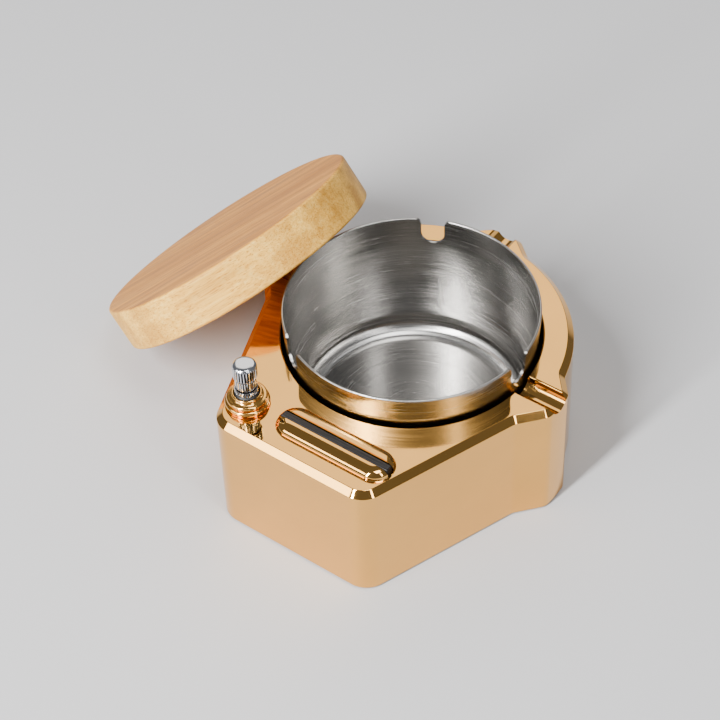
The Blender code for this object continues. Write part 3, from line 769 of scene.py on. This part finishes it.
def make_match(steel, rubber, plug_steel, rod_steel, wick_mat):
    coarse, fine = 0.75, 0.55
    knob = [
        knurled_ring(2.4, 0.0, 4.6),
        knurled_ring(2.4, 0.0, 6.5),
        knurled_ring(3.6, 0.0, 6.55),
        knurled_ring(4.0, 0.0, 6.9),
        knurled_ring(4.5, 0.1, 7.15),
        knurled_ring(4.55, fine, 7.45),
        knurled_ring(4.55, fine, 8.4),
        knurled_ring(4.3, 0.1, 8.75),
        knurled_ring(3.5, 0.0, 8.9),
        knurled_ring(3.5, 0.0, 9.35),
        knurled_ring(3.95, 0.1, 9.5),
        knurled_ring(4.05, fine, 9.85),
        knurled_ring(4.05, fine, 13.2),
        knurled_ring(3.9, 0.1, 13.6),
        knurled_ring(3.3, 0.0, 13.75),
        knurled_ring(3.3, 0.0, 14.3),
        knurled_ring(4.3, 0.0, 14.4),
        knurled_ring(4.62, 0.15, 14.7),
        knurled_ring(4.7, coarse, 15.1),
        knurled_ring(4.7, coarse, KNOB_TOP - 1.5),
        knurled_ring(4.62, 0.2, KNOB_TOP - 1.05),
        knurled_ring(4.4, 0.0, KNOB_TOP - 0.7),
        knurled_ring(3.85, 0.0, KNOB_TOP - 0.2),
        knurled_ring(3.6, 0.0, KNOB_TOP - 0.08),
        knurled_ring(2.0, 0.0, KNOB_TOP - 0.01),
    ]
    head = mesh_object("match_knob", loft(knob))
    mark_valleys(head, ((9.2, 4.55), (14.0, 4.05), (KNOB_TOP, 4.7)))
    finish_piece(head, steel, "match", ["match_head"], 34.0)

    seal_profile = arc((3.6, DECK_Z + 5.38), 1.14, 0, 2 * math.pi, 20)[:-1]
    seal = mesh_object("match_seal_ring", turned(seal_profile, 72, MATCH, hollow=True))
    finish_piece(seal, rubber, "match_seal", ["match_o_ring"], 60.0)

    plug = mesh_object("match_thread", thread_bm())
    finish_piece(plug, plug_steel, "match", ["match_plug"], 32.0)

    rod = [(0.0, STEM_LOW), (STEM_R - 0.4, STEM_LOW), (STEM_R, STEM_LOW + 0.4)]
    rod += [(STEM_R - 0.12 * (i % 2), STEM_LOW + 1.5 + i * 0.5) for i in range(24)]
    rod += [(STEM_R, STEM_HIGH - 3.3), (STEM_R, STEM_HIGH), (0.0, STEM_HIGH)]
    stem = mesh_object("match_striker", turned(rod, 48, MATCH))
    finish_piece(stem, rod_steel, "match", ["match_stem"], 40.0)

    wick = mesh_object("match_wick_rope", wick_bm())
    finish_piece(wick, wick_mat, "match", ["match_wick"], 50.0)


def thread_bm():
    """The threaded plug below the seal: V-shaped turns as close rings, with plain lands at both ends."""
    low = DECK_Z - 12.0
    profile = [(0.0, low), (3.2, low), (3.6, low + 0.5), (3.6, low + 2.0)]
    first = low + 2.2
    for i in range(THREAD_TURNS):
        z = first + i * THREAD_PITCH
        profile += [(3.5, z), (3.92, z + THREAD_PITCH * 0.45), (3.92, z + THREAD_PITCH * 0.6)]
    profile += [(3.5, first + THREAD_TURNS * THREAD_PITCH), (3.5, DECK_Z + 3.6), (3.2, DECK_Z + 4.0)]
    profile += [(2.0, DECK_Z + 4.0), (2.0, DECK_Z + 4.3), (0.0, DECK_Z + 4.3)]
    return turned(profile, 64, MATCH)


def wick_bm():
    """A rope wick of three strands, as one lobed rod that twists along its length."""
    steps = 40
    around = 36
    levels = []
    for k in range(steps + 1):
        share = k / steps
        end = min(1.0, 0.55 + 6 * share, 0.55 + 6 * (1 - share))
        ring = []
        for i in range(around):
            angle = 2 * math.pi * i / around
            r = (1.78 + 0.2 * math.cos(3 * (angle - share * 4.0))) * end
            z = WICK_LOW + (WICK_HIGH - WICK_LOW) * share
            ring.append((MATCH[0] + r * math.cos(angle), MATCH[1] + r * math.sin(angle), z))
        levels.append(ring)
    return loft(levels)


def make_flint(mat):
    half = ROD_WIDTH / 2
    low = MOUND_HEIGHT - SLOT_DEPTH + 0.05
    x0 = MOUND_X - MOUND_LENGTH / 2 + 1.5
    corner = 0.55
    ring = arc((half - corner, ROD_TOP - corner), corner, 0, math.pi / 2, 5)
    ring += arc((-half + corner, ROD_TOP - corner), corner, math.pi / 2, math.pi, 5)
    ring += [(-half, low), (half, low)]
    bevel = 0.25
    levels = []
    for along, shrink in ((0.0, bevel), (bevel, 0.0), (ROD_LENGTH - bevel, 0.0), (ROD_LENGTH, bevel)):
        levels.append(
            [(x0 + along, MOUND_Y + y * (1 - shrink / half), DECK_Z + z - shrink) for y, z in ring]
        )
    rod = mesh_object("flint_striker_bar", loft(levels))
    finish_piece(rod, mat, "base", ["flint_rod"], 34.0)


def make_lid(mat):
    """The disc is turned flat, keeps its flat places for the wood grain, and is then leaned."""
    half = LID_THICK / 2
    edge = LID_R - LID_EDGE_R
    profile = [(0.0, -half), (edge * 0.5, -half)]
    profile += arc((edge, -half + LID_EDGE_R), LID_EDGE_R, -math.pi / 2, 0, 8)
    profile += arc((edge, half - LID_EDGE_R), LID_EDGE_R, 0, math.pi / 2, 8)
    profile += [(edge * 0.5, half), (0.0, half)]
    lid = mesh_object("bamboo_lid", turned(profile, 256))
    flat = lid.data.attributes.new("flat_place", "FLOAT_VECTOR", "POINT")
    for vert, place in zip(lid.data.vertices, flat.data):
        place.vector = vert.co
    height = edge * math.sin(LID_TILT) + (half - LID_EDGE_R) * math.cos(LID_TILT) + LID_EDGE_R + 0.05
    turn = Matrix.Rotation(LID_AZIMUTH, 4, "Z") @ Matrix.Rotation(LID_TILT, 4, "Y")
    centre = Vector((LID_CENTRE_X, LID_CENTRE_Y, height)) * MM
    lid.data.transform(Matrix.Translation(centre) @ turn)
    finish_piece(lid, mat, "lid", ["lid_disc"], 30.0)


def dress_cad_nodes():
    """Materials for the CAD nodes that stay: the underside and the hidden fuel tank."""
    foam = matt_material("black_foam", (0.03, 0.03, 0.03), 0.9, 1400.0, 0.0002)
    plastic = matt_material("black_plastic", (0.035, 0.035, 0.037), 0.5, 2200.0, 0.00003)
    felt = matt_material("seat_felt", (0.07, 0.07, 0.072), 0.95, 1100.0, 0.0003, 0.5)
    gasket = matt_material("gasket_rubber", (0.04, 0.04, 0.04), 0.7, 1800.0, 0.00004)
    cotton = matt_material("cotton_wadding", (0.82, 0.81, 0.77), 0.95, 500.0, 0.0009, 0.8)
    brass = turned_steel("tank_brass", (0.72, 0.54, 0.27), 0.34, 900.0)
    screw = turned_steel("screw_steel", (0.55, 0.55, 0.57), 0.35)
    looks = {
        "base_pad": foam,
        "bottom_plate": plastic,
        "bowl_seat_pad": felt,
        "tank_gasket": gasket,
        "fuel_wadding": cotton,
        "fuel_tank": brass,
        "tank_cap": brass,
    }
    for name, cad in frame["nodes"].items():
        look = screw if name.startswith("plate_screw") else looks.get(name)
        if look:
            cad.data.materials.clear()
            cad.data.materials.append(look)


# ---------------------------------------------------------------- stage, lights, camera


def make_stage():
    mat, tree, bsdf = shader("pale_floor", (0.56, 0.56, 0.57), 0.0, 0.55, Specular_IOR_Level=0.25)
    grain = noise(tree, position(tree), 900.0, 3.0)
    connect(tree, remap(tree, grain, 0.5, 0.62), bsdf, "Roughness")
    bm = bmesh.new()
    reach = 6.0
    corners = [(-reach, -reach), (reach, -reach), (reach, reach), (-reach, reach)]
    bm.faces.new([bm.verts.new((x, y, -0.0002)) for x, y in corners])
    floor = mesh_object("studio_floor", bm, 1.0)
    floor.data.materials.append(mat)


def area_light(name, toward, distance, size, power, color=(1.0, 1.0, 1.0)):
    """A soft box that stands in this direction from the object and faces it."""
    light = bpy.data.lights.new(name, "AREA")
    light.shape = "RECTANGLE"
    light.size, light.size_y = size
    light.energy = power
    light.color = color
    lamp = bpy.data.objects.new(name, light)
    direction = Vector(toward).normalized()
    lamp.location = direction * distance
    lamp.rotation_euler = direction.to_track_quat("Z", "Y").to_euler()
    bpy.context.scene.collection.objects.link(lamp)


def make_lights():
    world = bpy.data.worlds.new("studio")
    world.use_nodes = True
    background = world.node_tree.nodes["Background"]
    background.inputs["Color"].default_value = (0.80, 0.82, 0.86, 1.0)
    background.inputs["Strength"].default_value = 0.22
    bpy.context.scene.world = world
    area_light("front_left_box", (-0.42, -0.73, 0.55), 1.5, (0.55, 0.42), 6.0)
    area_light("front_strip", (-0.10, -0.95, 0.75), 1.6, (0.13, 1.2), 62.0)
    area_light("right_box", (0.95, -0.30, 0.80), 1.6, (0.16, 1.1), 6.0)
    area_light("back_box", (-0.42, 0.60, 0.72), 1.7, (1.3, 0.9), 7.0, WARM_LIGHT)
    area_light("top_box", (0.25, -0.10, 1.0), 1.6, (0.5, 0.5), 9.0)


def make_camera():
    back = Vector(
        (
            math.sin(VIEW_AZIMUTH) * math.cos(VIEW_ELEVATION),
            -math.cos(VIEW_AZIMUTH) * math.cos(VIEW_ELEVATION),
            math.sin(VIEW_ELEVATION),
        )
    )
    camera = bpy.data.cameras.new("view_camera")
    camera.sensor_width = 36.0
    camera.lens = LENS
    camera.clip_start = 0.01
    camera.clip_end = 50.0
    holder = bpy.data.objects.new("view_camera", camera)
    holder.rotation_mode = "QUATERNION"
    holder.rotation_quaternion = back.to_track_quat("Z", "Y") @ Quaternion((0, 0, 1), VIEW_ROLL)
    holder.location = Vector(VIEW_TARGET) + back * VIEW_DISTANCE
    bpy.context.scene.collection.objects.link(holder)
    bpy.context.scene.camera = holder


for old in list(bpy.data.objects):
    bpy.data.objects.remove(old, do_unlink=True)
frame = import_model()

make_housing(gold_material("gold_plate"))
make_bowl(bowl_material())
make_collar(gold_material("collar_gold", haze=0.08))
make_match(
    knob_material(),
    matt_material("seal_rubber", (0.02, 0.02, 0.02), 0.5, 1500.0, 0.00003),
    turned_steel("plug_steel", (0.60, 0.60, 0.62), 0.3),
    turned_steel("striker_steel", (0.48, 0.48, 0.50), 0.3),
    matt_material("wick_fibre", (0.80, 0.76, 0.66), 0.95, 1300.0, 0.0004, 0.75),
)
make_flint(flint_material())
make_lid(bamboo_material())
dress_cad_nodes()
make_stage()
make_lights()
make_camera()
